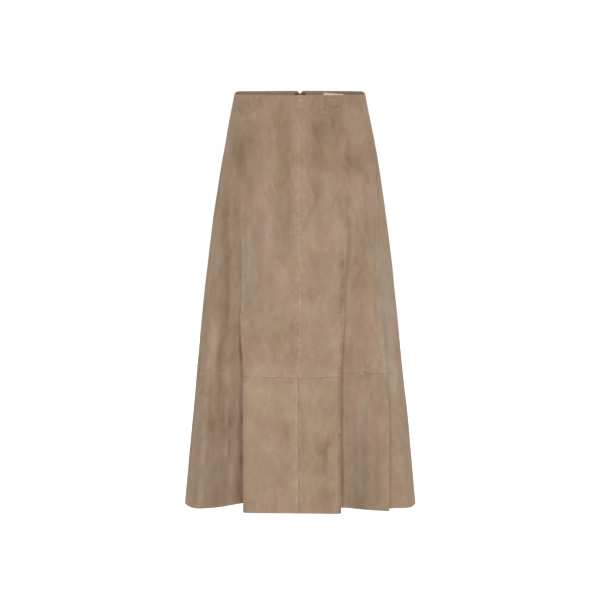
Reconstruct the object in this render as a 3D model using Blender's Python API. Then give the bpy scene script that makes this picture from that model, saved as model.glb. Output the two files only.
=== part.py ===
"""A mid-length circle skirt in suede, filled out as it is worn, with no wearer.

The skirt has eight cloth panels in two tiers, split at the centre front, the centre back
and both sides, with a facing, a label, a concealed zip and a hook and eye at the waist.
Metres, +Z up, front towards -Y. The origin is the middle of the waist opening, at the
height of the back waist edge, where the wearer holds the skirt up. Left and right are the
wearer's, so the wearer's right is at -X.
"""
from math import atan2, cos, pi, radians, sin

import bmesh
import bpy
import numpy as np
from mathutils import Matrix, Vector

# ---------------------------------------------------------------- driving dimensions
WALL = 0.0015           # suede
FACING_WALL = 0.0010    # facing, label and zip tape
GAP = 0.0003            # between two pieces at a seam or lying on each other

WAIST_Z = 0.0
HIP_Z = -0.220
THIGH_Z = -0.420
SEAM_Z = -0.565         # seam between the upper panels and the tier
HEM_Z = -0.840
LEVELS = (WAIST_Z, HIP_Z, THIGH_Z, SEAM_Z, HEM_Z)

WAIST_DIP = 0.006       # the front waist edge is this much lower than the back one
DIP_SIDES = (0.34, -0.16)   # the edge drops at the sides, between these reaches to the back
DIP_REACH = 0.060       # and the cloth follows it down to here
NOTCH_DEPTH = 0.004     # the waist edge opens in a small notch over the zip
NOTCH_HALF = 0.005
NOTCH_REACH = 0.020     # and the cloth below closes up again down to here

FACING_DEPTH = 0.045
ZIP_BOTTOM = -0.190
ZIP_HALF = 0.0120       # half width of the zip's tape at the waist
TAPE_DROP = 0.0040      # its top end lies this far under the waist edge
LABEL_SIZE = (0.041, 0.0185)
LABEL_X = 0.0695        # middle of the label, on the inside of the back
LABEL_DROP = 0.0035     # its top edge lies this far under the waist edge

# Outline of the skirt at each height: half its width, its reach to the front and the back.
OUTLINE = (
    # z,      half_width, front,  back
    (0.000, 0.1325, 0.0950, 0.0950),
    (-0.040, 0.1398, 0.1030, 0.1045),
    (-0.100, 0.1512, 0.1165, 0.1200),
    (-0.160, 0.1616, 0.1280, 0.1335),
    (-0.220, 0.1708, 0.1355, 0.1425),
    (-0.300, 0.1812, 0.1400, 0.1480),
    (-0.420, 0.1947, 0.1430, 0.1520),
    (-0.565, 0.2095, 0.1460, 0.1550),
    (-0.700, 0.2232, 0.1530, 0.1600),
    (-0.840, 0.2356, 0.1610, 0.1660),
)

# Lines that run down the skirt, in order round it from the centre back over the wearer's
# right side. Above the thigh a line lies on the oval at an angle, pressed in by its dent.
# At the tier seam and the hem it has its own place in plan, and the cloth turns there:
# round is the share of each neighbouring stretch that the turn takes up.
LINES = (
    # name, waist_deg, hip_deg, thigh_deg, dent, tier_x, tier_y, hem_x, hem_y, round
    ("back_seam", 90, 90, 90, 0.000, 0.000, 0.150, 0.000, 0.154, 0.40),
    ("back_right_crest", 113, 115, 116, 0.000, -0.090, 0.148, -0.099, 0.168, 0.25),
    ("back_right_fold", 127, 129, 130, 0.010, -0.103, 0.091, -0.104, 0.054, 0.30),
    ("back_right_slope", 138, 139, 139, 0.005, -0.127, 0.084, -0.127, 0.051, 0.35),
    ("back_right_flute", 157, 158, 158, 0.000, -0.186, 0.090, -0.209, 0.101, 0.40),
    ("right_side", 171, 177, 178, 0.000, -0.212, 0.010, -0.239, 0.008, 0.42),
    ("right_flute", 179, 192, 199, 0.000, -0.191, -0.070, -0.212, -0.094, 0.38),
    ("right_seam", 186, 205, 216, 0.003, -0.158, -0.064, -0.164, -0.070, 0.40),
    ("right_fold_out", 203, 216, 225, 0.013, -0.117, -0.027, -0.113, -0.001, 0.22),
    ("right_fold_in", 211, 221.5, 229, 0.015, -0.103, -0.034, -0.098, -0.013, 0.16),
    ("panel_right_edge", 221, 226, 232, 0.000, -0.1155, -0.137, -0.1145, -0.153, 0.13),
    ("front_seam", 269, 269, 270, 0.000, -0.002, -0.1455, -0.001, -0.159, 0.30),
    ("panel_left_edge", 307, 304, 297, 0.000, 0.083, -0.148, 0.083, -0.167, 0.16),
    ("left_fold", 312, 308, 301, 0.016, 0.078, -0.096, 0.078, -0.075, 0.22),
    ("left_fold_out", 318, 313.5, 307, 0.012, 0.092, -0.092, 0.092, -0.074, 0.30),
    ("left_face", 331, 323, 316, 0.000, 0.132, -0.100, 0.132, -0.106, 0.35),
    ("left_seam", 354, 336, 325, 0.000, 0.1735, -0.106, 0.1785, -0.127, 0.18),
    ("left_step", 359, 342, 333, 0.004, 0.1755, -0.079, 0.1785, -0.083, 0.25),
    ("left_flute", 363, 350, 345, 0.000, 0.200, -0.062, 0.2245, -0.077, 0.38),
    ("left_side", 369, 363, 362, 0.000, 0.212, 0.008, 0.239, 0.008, 0.42),
    ("back_left_flute", 384, 383, 382, 0.000, 0.184, 0.091, 0.204, 0.105, 0.40),
    ("back_left_slope", 402, 401, 401, 0.005, 0.130, 0.086, 0.132, 0.055, 0.35),
    ("back_left_fold", 412, 411, 410, 0.010, 0.107, 0.093, 0.109, 0.058, 0.30),
    ("back_left_crest", 426, 425, 424, 0.000, 0.092, 0.149, 0.103, 0.166, 0.25),
)
LINE_NAMES = [line[0] for line in LINES]
TURN_HALF = 0.25        # a turn fills this much of a line's span on either side of it
TURN_STEPS = (-0.25, -0.08, 0.08, 0.25, 0.5)   # columns of one line
REACH_SAMPLES = 8       # for each line, to find how far a section reaches to each side
REACH_LEVELS = 43
PLACE_STEP = 0.002      # small steps that give the surface's directions
HEIGHT_STEP = 0.001
COLUMN_APART = 0.012    # an ordinary column this near an extra one gives way to it
SIDE_LINE = 4.0         # the back of the waist is within this many lines of the back seam
HALVINGS = 40           # of the search for a place at the waist

# Rows of the cloth: every layer at the waist shares the panels' rows and columns, so that
# the gap between two layers stays even.
UPPER_HEIGHTS = (0.0, -0.022, -FACING_DEPTH, -0.110, ZIP_BOTTOM, -0.270, -0.350, -0.425,
                 -0.500, SEAM_Z)
TIER_HEIGHTS = (SEAM_Z, -0.620, -0.690, -0.765, HEM_Z)

SUEDE = (0.35, 0.25, 0.175, 1.0)
SUEDE_INSIDE = (0.25, 0.19, 0.145, 1.0)
CREAM = (0.62, 0.56, 0.46, 1.0)
TAPE = (0.16, 0.12, 0.09, 1.0)
METAL = (0.45, 0.36, 0.26, 1.0)


# ---------------------------------------------------------------- the skirt's surface
def smooth_through(knots, values, at):
    """Curve through values at knots, eased so that it never swings past them."""
    order = np.argsort(knots)
    knots = np.asarray(knots, float)[order]
    values = np.asarray(values, float)[order]
    spans = np.diff(knots)
    rises = np.diff(values, axis=0)
    if values.ndim > 1:
        spans = spans.reshape((-1,) + (1,) * (values.ndim - 1))
    rates = rises / spans
    slopes = np.zeros_like(values)
    same_way = rates[:-1] * rates[1:] > 0
    total = np.where(same_way, rates[:-1] + rates[1:], 1.0)
    slopes[1:-1] = np.where(same_way, 2.0 * rates[:-1] * rates[1:] / total, 0.0)
    slopes[0] = rates[0]
    slopes[-1] = rates[-1]
    place = np.clip(np.searchsorted(knots, at, side="right") - 1, 0, len(knots) - 2)
    width = knots[place + 1] - knots[place]
    share = np.clip((at - knots[place]) / width, 0.0, 1.0)
    if values.ndim > 1:
        columns = np.arange(values.shape[1])
        low, high = values[place, columns], values[place + 1, columns]
        low_slope, high_slope = slopes[place, columns], slopes[place + 1, columns]
        share = share.reshape(share.shape + (1,) * (low.ndim - 1))
        width = width.reshape(share.shape)
    else:
        low, high = values[place], values[place + 1]
        low_slope, high_slope = slopes[place], slopes[place + 1]
    return (low * (1 + 2 * share) * (1 - share) ** 2 + high * share ** 2 * (3 - 2 * share)
            + width * low_slope * share * (1 - share) ** 2
            - width * high_slope * share ** 2 * (1 - share))


def around(column, places, turn=0.0):
    """A column of LINES carried round the skirt: straight between lines, turning at them."""
    values = np.array([line[column] for line in LINES], float)
    shares = np.array([line[9] for line in LINES], float)
    count = len(LINES)
    places = np.asarray(places, float)
    nearest = np.floor(places + TURN_HALF).astype(int)
    along = places - nearest

    def at(index):
        return values[index % count] + turn * (index // count)

    def leave(index, way):
        share = shares[index % count]
        return at(index) + share * (at(index + way) - at(index))

    u = np.clip((along + TURN_HALF) / (2 * TURN_HALF), 0.0, 1.0)
    turning = ((1 - u) ** 2 * leave(nearest, -1) + 2 * u * (1 - u) * at(nearest)
               + u ** 2 * leave(nearest, 1))
    v = np.clip((along - TURN_HALF) / (1 - 2 * TURN_HALF), 0.0, 1.0)
    straight = (1 - v) * leave(nearest, 1) + v * leave(nearest + 1, -1)
    return np.where(along <= TURN_HALF, turning, straight)


def outline_at(heights, column):
    """Half width (1), front reach (2) or back reach (3) at the heights."""
    table = np.array(OUTLINE)
    return smooth_through(table[:, 0], table[:, column], heights)


def shares_of_outline(places, heights):
    """Plan of the skirt as shares of the outline's half width and reach."""
    angles = [np.radians(around(column, places, 360.0)) for column in (1, 2, 3)]
    oval = np.stack([np.cos(angles[2]), np.sin(angles[2])], axis=1)
    thigh_width = outline_at(THIGH_Z, 1)
    dent = -oval * (around(4, places) / thigh_width)[:, None]
    shifts = [np.zeros_like(oval), np.zeros_like(oval), dent]
    for level, x_column in ((SEAM_Z, 5), (HEM_Z, 7)):
        x = around(x_column, places) / outline_at(level, 1)
        y = around(x_column + 1, places)
        reach = np.where(y < 0, outline_at(level, 2), outline_at(level, 3))
        shifts.append(np.stack([x, y / reach], axis=1) - oval)
    turning = np.stack([angles[0], angles[1], angles[2], angles[2], angles[2]])
    angle = smooth_through(LEVELS, turning, heights)
    shift = smooth_through(LEVELS, np.stack(shifts), heights)
    return np.stack([np.cos(angle), np.sin(angle)], axis=1) + shift


def side_reach(heights):
    """How far the plan's shares reach at each side, to stretch each section to the outline."""
    sample = np.arange(0.0, len(LINES), 1 / REACH_SAMPLES)
    levels = np.linspace(HEM_Z, WAIST_Z, REACH_LEVELS)
    left = []
    right = []
    for level in levels:
        share = shares_of_outline(sample, np.full(len(sample), level))[:, 0]
        left.append(share.max())
        right.append(-share.min())
    return np.interp(heights, levels, left), np.interp(heights, levels, right)


def skin(places, heights):
    """Points of the outer surface: places count the lines round it, heights are z."""
    places = np.asarray(places, float)
    heights = np.asarray(heights, float)
    share = shares_of_outline(places, heights)
    left, right = side_reach(heights)
    x = share[:, 0] / np.where(share[:, 0] > 0, left, right) * outline_at(heights, 1)
    reach = np.where(share[:, 1] < 0, outline_at(heights, 2), outline_at(heights, 3))
    y = share[:, 1] * reach
    return np.stack([x, y, edge_height(places, x, heights)], axis=1)


def edge_height(places, x, heights):
    """The true height of a point: near the waist the cloth follows its edge's dip."""
    angle = np.radians(around(1, places, 360.0))
    high, low = DIP_SIDES
    forward = np.clip((high - np.sin(angle)) / (high - low), 0.0, 1.0)
    dip = WAIST_DIP * forward ** 2 * (3 - 2 * forward)
    fade = np.clip(1 + heights / DIP_REACH, 0.0, 1.0)
    at_back = np.sin(angle) > 0
    notch = NOTCH_DEPTH * np.clip(1 - np.abs(x) / NOTCH_HALF, 0.0, 1.0) * at_back
    notch_fade = np.clip(1 + heights / NOTCH_REACH, 0.0, 1.0)
    return heights - dip * fade - notch * notch_fade


def skin_directions(places, heights):
    """Unit directions round the skirt and out of it at points of the surface."""
    round_it = skin(places + PLACE_STEP, heights) - skin(places - PLACE_STEP, heights)
    above = np.minimum(heights + HEIGHT_STEP, WAIST_Z)
    up = skin(places, above) - skin(places, heights - HEIGHT_STEP)
    out = np.cross(round_it, up)
    round_it /= np.linalg.norm(round_it, axis=1)[:, None]
    out /= np.linalg.norm(out, axis=1)[:, None]
    return round_it, out


# ---------------------------------------------------------------- cloth solids
def material(name, colour, roughness, metallic=0.0):
    """A Principled material of its own."""
    made = bpy.data.materials.new(name)
    made.use_nodes = True
    shader = made.node_tree.nodes["Principled BSDF"]
    shader.inputs["Base Color"].default_value = colour
    shader.inputs["Roughness"].default_value = roughness
    shader.inputs["Metallic"].default_value = metallic
    return made


def add_object(name, mesh, stuff, smooth=True):
    """Put a finished mesh in the scene as one named object."""
    mesh.materials.append(stuff)
    if smooth:
        mesh.shade_smooth()
        mesh.set_sharp_from_angle(angle=radians(40))
    made = bpy.data.objects.new(name, mesh)
    bpy.context.scene.collection.objects.link(made)
    return made


def cloth(name, places, heights, depth, wall, stuff):
    """A closed wall of cloth over a grid of places and heights, depth inside the surface."""
    places = np.asarray(places, float)
    heights = np.asarray(heights, float)
    rows, columns = len(heights), len(places)
    grid_places = np.tile(places, rows)
    grid_heights = np.repeat(heights, columns)
    points = skin(grid_places, grid_heights)
    round_it, out = skin_directions(grid_places, grid_heights)
    inset = np.zeros(columns)
    inset[0] = GAP / 2
    inset[-1] = -GAP / 2
    points += round_it * np.tile(inset, rows)[:, None]
    outer = points - out * depth
    inner = points - out * (depth + wall)
    count = rows * columns
    faces = []

    def quad(a, b, c, d):
        faces.append((a, b, c))
        faces.append((a, c, d))

    for row in range(rows - 1):
        for column in range(columns - 1):
            a = row * columns + column
            b, c, d = a + columns, a + columns + 1, a + 1
            quad(a, b, c, d)
            quad(count + a, count + d, count + c, count + b)
    for row in range(rows - 1):
        first = row * columns
        last = first + columns - 1
        quad(first, count + first, count + first + columns, first + columns)
        quad(last, last + columns, count + last + columns, count + last)
    for column in range(columns - 1):
        top = column
        low = (rows - 1) * columns + column
        quad(top, top + 1, count + top + 1, count + top)
        quad(low, count + low, count + low + 1, low + 1)
    mesh = bpy.data.meshes.new(name)
    mesh.from_pydata(np.concatenate([outer, inner]).tolist(), [], faces)
    mesh.update()
    return add_object(name, mesh, stuff)


def places_between(first, last, extra=()):
    """Columns from one place round the skirt to another, with the extra ones between them."""
    count = len(LINES)
    every = [line + step for line in range(-1, 2 * count) for step in TURN_STEPS]
    kept = [place for place in every if all(abs(place - other) > COLUMN_APART for other in extra)]
    places = sorted(kept + list(extra))
    return [first] + [place for place in places if first < place < last] + [last]


def seam_places():
    """Places of the four seams that run down the skirt, and the back seam once more."""
    names = ("back_seam", "right_seam", "front_seam", "left_seam")
    seams = [float(LINE_NAMES.index(name)) for name in names]
    return seams + [seams[0] + len(LINES)]


def waist_place(x):
    """Place on the inside back, by its sideways distance from the back seam at the waist."""
    low, high = 0.0, SIDE_LINE
    for _ in range(HALVINGS):
        middle = (low + high) / 2
        if skin([-middle], [WAIST_Z])[0, 0] < abs(x):
            low = middle
        else:
            high = middle
    return -low if x > 0 else low


def waist_places():
    """Extra columns at the back: the notch, the zip tape's edges and the label's ends."""
    sides = [waist_place(side * reach) for side in (-1, 1) for reach in (NOTCH_HALF, ZIP_HALF)]
    label = [waist_place(LABEL_X + side * LABEL_SIZE[0] / 2) for side in (-1, 1)]
    near = sides + label
    return near + [place + len(LINES) for place in near]


def build_panels():
    """The four upper panels and the four of the tier."""
    back, right, front, left, back_again = seam_places()
    extra = waist_places()
    spans = (
        ("back_panel_right", "tier_back_right", back, right),
        ("front_panel_right", "tier_front_right", right, front),
        ("front_panel_left", "tier_front_left", front, left),
        ("back_panel_left", "tier_back_left", left, back_again),
    )
    upper = list(UPPER_HEIGHTS[:-1]) + [SEAM_Z + GAP / 2]
    tier = [SEAM_Z - GAP / 2] + list(TIER_HEIGHTS[1:])
    for upper_name, tier_name, first, last in spans:
        places = places_between(first, last, extra)
        cloth(upper_name, places, upper, 0.0, WALL, material(upper_name, SUEDE, 0.9))
        places = places_between(first, last)
        cloth(tier_name, places, tier, 0.0, WALL, material(tier_name, SUEDE, 0.9))


def build_waist_trim():
    """Facing, label and zip tape, which lie on the inside of the panels."""
    extra = waist_places() + [0.0]
    edge = waist_place(-ZIP_HALF)
    under_panel = WALL + GAP
    facing_rows = [height for height in UPPER_HEIGHTS if height >= -FACING_DEPTH]
    cloth("waist_facing", places_between(edge, len(LINES) - edge, extra), facing_rows,
          under_panel, FACING_WALL, material("waist_facing", SUEDE_INSIDE, 0.9))
    tape_rows = [-TAPE_DROP] + [height for height in UPPER_HEIGHTS[1:] if height >= ZIP_BOTTOM]
    cloth("zip_tape", places_between(-edge, edge, extra), tape_rows,
          under_panel, FACING_WALL, material("zip_tape", TAPE, 0.8))
    first = waist_place(LABEL_X + LABEL_SIZE[0] / 2)
    last = waist_place(LABEL_X - LABEL_SIZE[0] / 2)
    cloth("label", places_between(first, last, extra), (-LABEL_DROP, -LABEL_DROP - LABEL_SIZE[1]),
          under_panel + FACING_WALL + GAP, FACING_WALL, material("label", CREAM, 0.7))


# ---------------------------------------------------------------- metal pieces
SLIDER_Z = -0.0160      # middle of the slider
SLIDER = (0.0046, 0.0100, 0.0012)     # width, height and thickness of its plate
EAR = (0.0010, 0.0034, 0.0030)        # thickness, height and reach of each ear
BAR_RADIUS = 0.00050
BORE_RADIUS = 0.00065
KNUCKLE_RADIUS = 0.00125
BAR_OUT = SLIDER[2] + 0.0018          # the bar's axis stands this far off the plate's back
TAB = (0.0042, 0.0150, 0.0010)        # width, length and thickness of the pull tab
KNUCKLE_WIDTH = 0.0022                # between the ears
TAB_NECK = 0.0019                     # width of the tab where it passes the ears
NECK_PAST_EARS = 0.0012
NECK_FLARE = 0.0010                   # over this length the neck widens to the tab
HOOK_Z = -0.0075                      # middle of the hook and of the eye
HOOK_PLATE = (0.0060, 0.0040, 0.0007)
HOOK_END = -0.0020                    # the plate ends this far short of the back seam
BILL = (0.0050, 0.0016, 0.0007)
BEND_OVERLAP = 0.0002                 # the bend runs this far into the plate
EYE_X = 0.0035
EYE_RADIUS = 0.0018
EYE_WIRE = 0.00035
ROUND_SIDES = 20
WIRE_SIDES = 8
TAB_END_STEPS = 12                    # facets of the tab's rounded end


def box_mesh(low, high):
    """A closed box between two corners."""
    shape = bmesh.new()
    bmesh.ops.create_cube(shape, size=1.0)
    size = Vector(high) - Vector(low)
    middle = (Vector(high) + Vector(low)) / 2
    for vertex in shape.verts:
        vertex.co = Vector((vertex.co.x * size.x, vertex.co.y * size.y, vertex.co.z * size.z))
        vertex.co += middle
    return shape


def rod_mesh(radius, length, centre=(0, 0, 0)):
    """A closed rod along X."""
    shape = bmesh.new()
    turn = Matrix.Translation(Vector(centre)) @ Matrix.Rotation(pi / 2, 4, "Y")
    bmesh.ops.create_cone(shape, cap_ends=True, segments=ROUND_SIDES, radius1=radius,
                          radius2=radius, depth=length, matrix=turn)
    return shape


def plate_mesh(outline, low, high):
    """A flat plate: an outline in x and z, extruded from y = low to y = high."""
    shape = bmesh.new()
    corners = [shape.verts.new((x, low, z)) for x, z in outline]
    face = shape.faces.new(corners)
    made = bmesh.ops.extrude_face_region(shape, geom=[face])
    moved = [item for item in made["geom"] if isinstance(item, bmesh.types.BMVert)]
    bmesh.ops.translate(shape, verts=moved, vec=(0, high - low, 0))
    bmesh.ops.recalc_face_normals(shape, faces=shape.faces)
    return shape


def solid_of(name, shapes, cutters=()):
    """Join closed shapes into one body, less the cutters, and return its mesh."""
    objects = []
    for index, shape in enumerate(list(shapes) + list(cutters)):
        mesh = bpy.data.meshes.new(name + "_%d" % index)
        shape.to_mesh(mesh)
        shape.free()
        made = bpy.data.objects.new(name + "_%d" % index, mesh)
        bpy.context.scene.collection.objects.link(made)
        objects.append(made)
    base = objects[0]
    for index, other in enumerate(objects[1:], start=1):
        joiner = base.modifiers.new("join_%d" % index, "BOOLEAN")
        joiner.operation = "UNION" if index < len(shapes) else "DIFFERENCE"
        joiner.object = other
    bpy.context.view_layer.update()
    finished = bpy.data.meshes.new_from_object(
        base.evaluated_get(bpy.context.evaluated_depsgraph_get()))
    finished.name = name
    for made in objects:
        bpy.data.objects.remove(made)
    return finished


def cloth_frame(height, depth):
    """Frame on the back seam at a height: X sideways, Y out of the cloth, Z up along it."""
    place = np.array([0.0])
    middle = skin(place, np.array([height]))[0]
    _, out = skin_directions(place, np.array([height]))
    lean = atan2(out[0, 2], out[0, 1])
    middle = middle - out[0] * depth
    return Matrix.Translation(Vector(middle)) @ Matrix.Rotation(lean, 4, "X")


def build_zip():
    """Slider on the outside of the back seam, and the pull tab hinged to it."""
    frame = cloth_frame(SLIDER_Z, -2 * GAP)
    width, height, thickness = SLIDER
    ear_wall, ear_height, ear_reach = EAR
    ear_middle = width / 2 - ear_wall / 2
    plate = box_mesh((-width / 2, 0, -height / 2), (width / 2, thickness, height / 2))
    ears = [box_mesh((side * ear_middle - ear_wall / 2, thickness / 2, -ear_height / 2),
                     (side * ear_middle + ear_wall / 2, thickness + ear_reach, ear_height / 2))
            for side in (-1, 1)]
    bar = rod_mesh(BAR_RADIUS, width - ear_wall, (0, BAR_OUT, 0))
    slider = add_object("zip_slider", solid_of("zip_slider", [plate] + ears + [bar]),
                        material("zip_slider", METAL, 0.35, 1.0), smooth=False)
    slider.matrix_world = frame

    tab_width, tab_length, tab_wall = TAB
    neck = TAB_NECK / 2
    side = tab_width / 2
    shoulder = -ear_height / 2 - NECK_PAST_EARS
    flare = shoulder - NECK_FLARE
    end = -tab_length + side
    turns = [pi * step / TAB_END_STEPS for step in range(TAB_END_STEPS + 1)]
    outline = [(neck, 0.0), (neck, shoulder), (side, flare)]
    outline += [(cos(turn) * side, end - sin(turn) * side) for turn in turns]
    outline += [(-side, flare), (-neck, shoulder), (-neck, 0.0)]
    blade = plate_mesh(outline, -tab_wall / 2, tab_wall / 2)
    knuckle = rod_mesh(KNUCKLE_RADIUS, KNUCKLE_WIDTH)
    bore = rod_mesh(BORE_RADIUS, 2 * KNUCKLE_WIDTH)
    tab = add_object("zip_pull", solid_of("zip_pull", [blade, knuckle], [bore]),
                     material("zip_pull", METAL, 0.35, 1.0), smooth=False)
    tab.matrix_world = frame @ Matrix.Translation((0, BAR_OUT, 0))


def build_hook_and_eye():
    """Hook on the wearer's right end of the facing and a wire eye on the left end."""
    inner = WALL + FACING_WALL + 2 * GAP
    frame = cloth_frame(HOOK_Z, inner)
    plate_width, plate_height, plate_wall = HOOK_PLATE
    bill_length, bill_height, bill_wall = BILL
    tip = HOOK_END + bill_wall
    plate = box_mesh((HOOK_END - plate_width, -plate_wall, -plate_height / 2),
                     (HOOK_END, 0, plate_height / 2))
    bend = box_mesh((HOOK_END - BEND_OVERLAP, -3 * bill_wall, -bill_height / 2),
                    (tip, -BEND_OVERLAP, bill_height / 2))
    bill = box_mesh((tip - bill_length, -3 * bill_wall, -bill_height / 2),
                    (tip, -2 * bill_wall, bill_height / 2))
    hook = add_object("hook", solid_of("hook", [plate, bend, bill]),
                      material("hook", METAL, 0.4, 1.0), smooth=False)
    hook.matrix_world = frame

    eye = bpy.data.meshes.new("eye")
    ring = bmesh.new()
    loops = []
    for step in range(ROUND_SIDES):
        turn = 2 * pi * step / ROUND_SIDES
        loop = []
        for side in range(WIRE_SIDES):
            roll = 2 * pi * side / WIRE_SIDES
            reach = EYE_RADIUS + EYE_WIRE * cos(roll)
            loop.append(ring.verts.new((reach * cos(turn), EYE_WIRE * sin(roll),
                                        reach * sin(turn))))
        loops.append(loop)
    for step, loop in enumerate(loops):
        following = loops[(step + 1) % ROUND_SIDES]
        for side in range(WIRE_SIDES):
            beside = (side + 1) % WIRE_SIDES
            ring.faces.new((loop[side], loop[beside], following[beside], following[side]))
    bmesh.ops.recalc_face_normals(ring, faces=ring.faces)
    ring.to_mesh(eye)
    ring.free()
    made = add_object("eye", eye, material("eye", METAL, 0.4, 1.0))
    made.matrix_world = frame @ Matrix.Translation((EYE_X, -EYE_WIRE, 0))


def main():
    for old in list(bpy.data.objects):
        bpy.data.objects.remove(old)
    build_panels()
    build_waist_trim()
    build_zip()
    build_hook_and_eye()


main()
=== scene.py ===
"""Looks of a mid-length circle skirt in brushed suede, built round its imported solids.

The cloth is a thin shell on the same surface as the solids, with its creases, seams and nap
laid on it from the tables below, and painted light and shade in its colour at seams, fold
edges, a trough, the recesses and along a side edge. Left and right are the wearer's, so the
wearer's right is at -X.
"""
from math import cos, pi, radians, sin

import bpy
import numpy as np
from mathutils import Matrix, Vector


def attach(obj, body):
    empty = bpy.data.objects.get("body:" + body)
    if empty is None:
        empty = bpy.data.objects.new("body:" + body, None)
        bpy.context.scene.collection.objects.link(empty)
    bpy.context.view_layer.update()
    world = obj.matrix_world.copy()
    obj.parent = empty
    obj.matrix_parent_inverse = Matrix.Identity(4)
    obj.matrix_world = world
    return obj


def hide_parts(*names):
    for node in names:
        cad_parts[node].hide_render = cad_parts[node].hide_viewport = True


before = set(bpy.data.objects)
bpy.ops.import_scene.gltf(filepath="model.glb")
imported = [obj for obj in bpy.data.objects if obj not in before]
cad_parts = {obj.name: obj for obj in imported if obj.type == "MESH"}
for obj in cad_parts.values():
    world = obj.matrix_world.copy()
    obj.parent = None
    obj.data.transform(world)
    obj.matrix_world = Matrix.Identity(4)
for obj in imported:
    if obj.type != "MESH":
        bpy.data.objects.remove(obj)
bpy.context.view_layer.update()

MM_PER_M = 1000
PERCENT = 100

# ---- sizes
WALL = 0.0015           # suede
FACING_WALL = 0.0010    # facing, label and zip tape
GAP = 0.0003            # between two pieces at a seam or lying on each other
UNDER_PANEL = WALL + GAP        # depths under the outer face of the panels
UNDER_FACING = UNDER_PANEL + FACING_WALL

WAIST_Z = 0.0
HIP_Z = -0.220
THIGH_Z = -0.420
SEAM_Z = -0.565         # seam between the upper panels and the tier
HEM_Z = -0.840
LEVELS = (WAIST_Z, HIP_Z, THIGH_Z, SEAM_Z, HEM_Z)

WAIST_DIP = 0.006       # the front waist edge is this much lower than the back one
DIP_SIDES = (0.34, -0.16)   # the edge drops at the sides, between these reaches to the back
DIP_REACH = 0.060
NOTCH_DEPTH = 0.006     # the waist edge opens in a small notch over the zip
NOTCH_HALF = 0.0055
NOTCH_REACH = 0.020

FACING_DEPTH = 0.045
ZIP_BOTTOM = -0.190
ZIP_HALF = 0.0120       # half width of the zip's tape at the waist
TAPE_DROP = 0.0040
LABEL_SIZE = (0.041, 0.0185)    # as seen from the front
LABEL_X = 0.0695
LABEL_DROP = 0.0035

COLUMN_PITCH = 0.0026   # of the fine shells, at the middle of the tier
COLUMN_TRIES = 3000     # places tried to find the even ones
WAIST_TRIES = 4001
WAIST_PLACES = 4.0      # zip and label lie within so many places of the back seam
STITCH_TRIES = 6000
ROW_PITCH = 0.0034
FINE_PITCH = 0.0017     # of the rows near the waist, where the wrinkles are small
FINE_REACH = 0.085
EDGE_STEPS = (0.0003, 0.0008, 0.0016, 0.0028)   # closer columns and rows at each edge
EDGE_KEPT = 0.95        # how far round its radius a cloth's edge is turned
SEAM_LEFT = 0.00002     # what shows of the gap at a seam once it is sewn shut
SEWN_ROUND = 0.00035    # radius of an edge at a seam
ALLOWANCE = 0.0100      # seam allowances, pressed open on the inside
ALLOWANCE_WALL = 0.0006
SEAM_RAMP = 0.0012      # the edge of an allowance thins out over this width
HEM_TURN = 0.030        # the hem is turned up this far on the inside
LABEL_LEAN = -0.0030    # the wearer's left end of the label hangs this much lower

# Outline of the skirt at each height, in millimetres: half its width, its reach to the front
# and the back.
OUTLINE = (
    # z, half_width, front, back
    (0, 132.5, 95, 95),
    (-40, 139.8, 103, 104.5),
    (-100, 151.2, 116.5, 120),
    (-160, 161.6, 128, 133.5),
    (-220, 170.8, 135.5, 142.5),
    (-300, 181.2, 140, 148),
    (-420, 194.7, 143, 152),
    (-565, 209.5, 146, 155),
    (-700, 223.2, 153, 160),
    (-840, 235.6, 161, 166),
)

# Lines that run down the skirt, in order round it from the centre back over the wearer's
# right side, as the solids have them: degrees round it, then millimetres, then how round.
LINES = (
    # name, waist_deg, hip_deg, thigh_deg, dent, tier_x, tier_y, hem_x, hem_y, round
    ("back_seam", 90, 90, 90, 0, 0, 150, 0, 154, 0.4),
    ("back_right_crest", 113, 115, 116, 0, -90, 148, -99, 168, 0.25),
    ("back_right_fold", 127, 129, 130, 10, -103, 91, -104, 54, 0.3),
    ("back_right_slope", 138, 139, 139, 5, -127, 84, -127, 51, 0.35),
    ("back_right_flute", 157, 158, 158, 0, -186, 90, -209, 101, 0.4),
    ("right_side", 171, 177, 178, 0, -212, 10, -239, 8, 0.42),
    ("right_flute", 179, 192, 199, 0, -191, -70, -212, -94, 0.38),
    ("right_seam", 186, 205, 216, 3, -158, -64, -164, -70, 0.4),
    ("right_fold_out", 203, 216, 225, 13, -117, -27, -113, -1, 0.22),
    ("right_fold_in", 211, 221.5, 229, 15, -103, -34, -98, -13, 0.16),
    ("panel_right_edge", 221, 226, 232, 0, -115.5, -137, -114.5, -153, 0.13),
    ("front_seam", 269, 269, 270, 0, -2, -145.5, -1, -159, 0.3),
    ("panel_left_edge", 307, 304, 297, 0, 83, -148, 83, -167, 0.16),
    ("left_fold", 312, 308, 301, 16, 78, -96, 78, -75, 0.22),
    ("left_fold_out", 318, 313.5, 307, 12, 92, -92, 92, -74, 0.3),
    ("left_face", 331, 323, 316, 0, 132, -100, 132, -106, 0.35),
    ("left_seam", 354, 336, 325, 0, 173.5, -106, 178.5, -127, 0.18),
    ("left_step", 359, 342, 333, 4, 175.5, -79, 178.5, -83, 0.25),
    ("left_flute", 363, 350, 345, 0, 200, -62, 224.5, -77, 0.38),
    ("left_side", 369, 363, 362, 0, 212, 8, 239, 8, 0.42),
    ("back_left_flute", 384, 383, 382, 0, 184, 91, 204, 105, 0.4),
    ("back_left_slope", 402, 401, 401, 5, 130, 86, 132, 55, 0.35),
    ("back_left_fold", 412, 411, 410, 10, 107, 93, 109, 58, 0.3),
    ("back_left_crest", 426, 425, 424, 0, 92, 149, 103, 166, 0.25),
)
LINE_NAMES = [line[0] for line in LINES]
TURN_HALF = 0.25        # a line turns over this many places on each side of it
SIDE_PITCH = 0.125      # places and levels at which the plan's reach to the sides is found
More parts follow.
